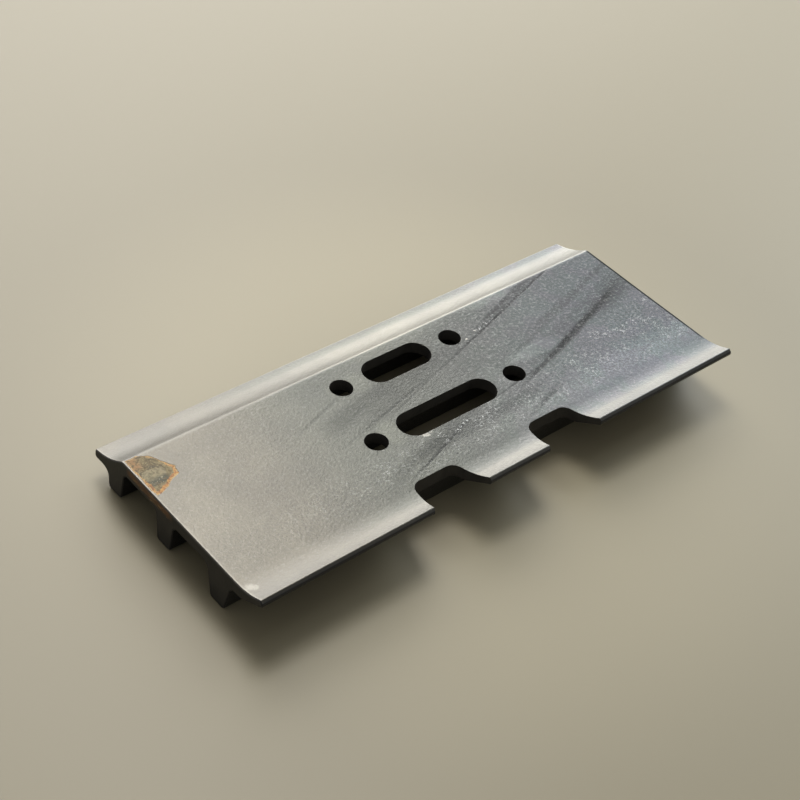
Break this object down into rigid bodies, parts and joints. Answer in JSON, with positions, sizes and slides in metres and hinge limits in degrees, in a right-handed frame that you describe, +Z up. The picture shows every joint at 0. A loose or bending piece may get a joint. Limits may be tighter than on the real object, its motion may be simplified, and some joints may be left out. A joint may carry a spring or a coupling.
{
  "type": "excavator track shoe",
  "caption": "Rolled steel track shoe: flat link face, grouser ribs underneath, raised and lowered lips, bolt holes, clearance slots between them and notches in the raised lip.",
  "frame": {"origin": "under the middle of the shoe, at the level of the grouser tips", "axes": "+X along the grousers, +Y along the track from the raised lip to the lowered lip, +Z up to the track links"},
  "size_m": [0.6, 0.2528, 0.057],
  "materials": {
    "black_paint": "semi-gloss"
  },
  "bodies": {
    "root": {"track_shoe": "black_paint"}
  },
  "joints": []
}
